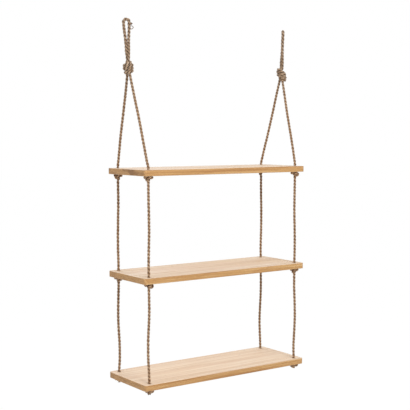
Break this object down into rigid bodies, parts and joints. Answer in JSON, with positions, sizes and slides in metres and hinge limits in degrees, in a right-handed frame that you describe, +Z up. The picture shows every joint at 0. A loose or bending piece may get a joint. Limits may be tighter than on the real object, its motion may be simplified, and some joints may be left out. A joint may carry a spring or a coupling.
{
  "type": "hanging rope shelf",
  "caption": "Wooden boards hung one above another on knotted plant-fibre ropes, whose looped tops go over hooks in a wall or ceiling.",
  "frame": {"origin": "midway between the two hooks, at the height where the rope eyes bear on them", "axes": "+X along the boards to the right as seen from the front, +Y from front to back, +Z up"},
  "size_m": [0.6082, 0.21, 1.09],
  "materials": {
    "board_wood": "sanded softwood, clear matt oil",
    "rope": "rough two-strand jute, laid"
  },
  "bodies": {
    "hook_turns": {"left_eye_turn": "rope", "right_eye_turn": "rope"},
    "eye_bends": {"left_eye_front_bend": "rope", "left_eye_back_bend": "rope", "right_eye_front_bend": "rope", "right_eye_back_bend": "rope"},
    "left_hanger": {"left_eye_front_side": "rope", "left_eye_back_side": "rope", "left_loop_knot": "rope", "left_front_leg": "rope", "left_back_leg": "rope"},
    "right_hanger": {"right_eye_front_side": "rope", "right_eye_back_side": "rope", "right_loop_knot": "rope", "right_front_leg": "rope", "right_back_leg": "rope"},
    "top_tier": {"top_board": "board_wood", "top_front_left_knot": "rope", "top_front_right_knot": "rope", "top_back_left_knot": "rope", "top_back_right_knot": "rope"},
    "middle_tier": {"middle_board": "board_wood", "middle_front_left_knot": "rope", "middle_front_right_knot": "rope", "middle_back_left_knot": "rope", "middle_back_right_knot": "rope"},
    "bottom_tier": {"bottom_board": "board_wood", "bottom_front_left_knot": "rope", "bottom_front_right_knot": "rope", "bottom_back_left_knot": "rope", "bottom_back_right_knot": "rope"},
    "middle_front_left_length": {"middle_front_left_rope": "rope"},
    "middle_front_right_length": {"middle_front_right_rope": "rope"},
    "middle_back_left_length": {"middle_back_left_rope": "rope"},
    "middle_back_right_length": {"middle_back_right_rope": "rope"},
    "middle_front_bends": {"middle_front_left_bend": "rope", "middle_front_right_bend": "rope"},
    "middle_back_bends": {"middle_back_left_bend": "rope", "middle_back_right_bend": "rope"},
    "middle_foot_bend": {"middle_front_left_foot_bend": "rope"},
    "bottom_front_left_length": {"bottom_front_left_rope": "rope"},
    "bottom_front_right_length": {"bottom_front_right_rope": "rope"},
    "bottom_back_left_length": {"bottom_back_left_rope": "rope"},
    "bottom_back_right_length": {"bottom_back_right_rope": "rope"},
    "bottom_front_bends": {"bottom_front_left_bend": "rope", "bottom_front_right_bend": "rope"},
    "bottom_back_bends": {"bottom_back_left_bend": "rope", "bottom_back_right_bend": "rope"},
    "bottom_foot_bend": {"bottom_front_left_foot_bend": "rope"}
  },
  "joints": [
    {"name": "shelf_swing", "type": "hinge", "parent": "hook_turns", "child": "eye_bends", "pos_m": [0, 0, -0.004], "axis": [1, 0, 0], "range_deg": [-12, 12]},
    {"name": "shelf_sway", "type": "hinge", "parent": "eye_bends", "child": "left_hanger", "pos_m": [-0.294, 0, -0.004], "axis": [0, 1, 0], "range_deg": [-8, 8]},
    {"name": "right_hanger_sway", "type": "hinge", "parent": "eye_bends", "child": "right_hanger", "pos_m": [0.294, 0, -0.004], "axis": [0, 1, 0], "range_deg": [-8, 8]},
    {"name": "top_board_tilt", "type": "hinge", "parent": "left_hanger", "child": "top_tier", "pos_m": [-0.275, 0, -0.423], "axis": [0, 1, 0], "range_deg": [-8.6, 8.6]},
    {"name": "middle_swing", "type": "hinge", "parent": "top_tier", "child": "middle_front_bends", "pos_m": [0, -0.086, -0.467], "axis": [-1, 0, 0], "range_deg": [-12, 12]},
    {"name": "middle_back_swing", "type": "hinge", "parent": "top_tier", "child": "middle_back_bends", "pos_m": [0, 0.086, -0.467], "axis": [-1, 0, 0], "range_deg": [-12, 12]},
    {"name": "middle_sway", "type": "hinge", "parent": "middle_front_bends", "child": "middle_front_left_length", "pos_m": [-0.275, -0.086, -0.467], "axis": [0, 1, 0], "range_deg": [-12, 12]},
    {"name": "middle_front_right_sway", "type": "hinge", "parent": "middle_front_bends", "child": "middle_front_right_length", "pos_m": [0.275, -0.086, -0.467], "axis": [0, 1, 0], "range_deg": [-12, 12]},
    {"name": "middle_back_left_sway", "type": "hinge", "parent": "middle_back_bends", "child": "middle_back_left_length", "pos_m": [-0.275, 0.086, -0.467], "axis": [0, 1, 0], "range_deg": [-12, 12]},
    {"name": "middle_back_right_sway", "type": "hinge", "parent": "middle_back_bends", "child": "middle_back_right_length", "pos_m": [0.275, 0.086, -0.467], "axis": [0, 1, 0], "range_deg": [-12, 12]},
    {"name": "middle_foot_sway", "type": "hinge", "parent": "middle_front_left_length", "child": "middle_foot_bend", "pos_m": [-0.275, -0.086, -0.733], "axis": [0, 1, 0], "range_deg": [-12, 12]},
    {"name": "middle_board_level", "type": "hinge", "parent": "middle_foot_bend", "child": "middle_tier", "pos_m": [-0.275, -0.086, -0.733], "axis": [-1, 0, 0], "range_deg": [-12, 12]},
    {"name": "bottom_swing", "type": "hinge", "parent": "middle_tier", "child": "bottom_front_bends", "pos_m": [0, -0.086, -0.777], "axis": [-1, 0, 0], "range_deg": [-12, 12]},
    {"name": "bottom_back_swing", "type": "hinge", "parent": "middle_tier", "child": "bottom_back_bends", "pos_m": [0, 0.086, -0.777], "axis": [-1, 0, 0], "range_deg": [-12, 12]},
    {"name": "bottom_sway", "type": "hinge", "parent": "bottom_front_bends", "child": "bottom_front_left_length", "pos_m": [-0.275, -0.086, -0.777], "axis": [0, 1, 0], "range_deg": [-12, 12]},
    {"name": "bottom_front_right_sway", "type": "hinge", "parent": "bottom_front_bends", "child": "bottom_front_right_length", "pos_m": [0.275, -0.086, -0.777], "axis": [0, 1, 0], "range_deg": [-12, 12]},
    {"name": "bottom_back_left_sway", "type": "hinge", "parent": "bottom_back_bends", "child": "bottom_back_left_length", "pos_m": [-0.275, 0.086, -0.777], "axis": [0, 1, 0], "range_deg": [-12, 12]},
    {"name": "bottom_back_right_sway", "type": "hinge", "parent": "bottom_back_bends", "child": "bottom_back_right_length", "pos_m": [0.275, 0.086, -0.777], "axis": [0, 1, 0], "range_deg": [-12, 12]},
    {"name": "bottom_foot_sway", "type": "hinge", "parent": "bottom_front_left_length", "child": "bottom_foot_bend", "pos_m": [-0.275, -0.086, -1.043], "axis": [0, 1, 0], "range_deg": [-12, 12]},
    {"name": "bottom_board_level", "type": "hinge", "parent": "bottom_foot_bend", "child": "bottom_tier", "pos_m": [-0.275, -0.086, -1.043], "axis": [-1, 0, 0], "range_deg": [-12, 12]}
  ],
  "couplings": [
    {"joint": "right_hanger_sway", "follows": "shelf_sway", "ratio": 1},
    {"joint": "top_board_tilt", "follows": "shelf_sway", "ratio": -1.0691},
    {"joint": "middle_back_swing", "follows": "middle_swing", "ratio": 1},
    {"joint": "middle_front_right_sway", "follows": "middle_sway", "ratio": 1},
    {"joint": "middle_back_left_sway", "follows": "middle_sway", "ratio": 1},
    {"joint": "middle_back_right_sway", "follows": "middle_sway", "ratio": 1},
    {"joint": "middle_foot_sway", "follows": "middle_sway", "ratio": -1},
    {"joint": "middle_board_level", "follows": "middle_swing", "ratio": -1},
    {"joint": "bottom_back_swing", "follows": "bottom_swing", "ratio": 1},
    {"joint": "bottom_front_right_sway", "follows": "bottom_sway", "ratio": 1},
    {"joint": "bottom_back_left_sway", "follows": "bottom_sway", "ratio": 1},
    {"joint": "bottom_back_right_sway", "follows": "bottom_sway", "ratio": 1},
    {"joint": "bottom_foot_sway", "follows": "bottom_sway", "ratio": -1},
    {"joint": "bottom_board_level", "follows": "bottom_swing", "ratio": -1}
  ]
}
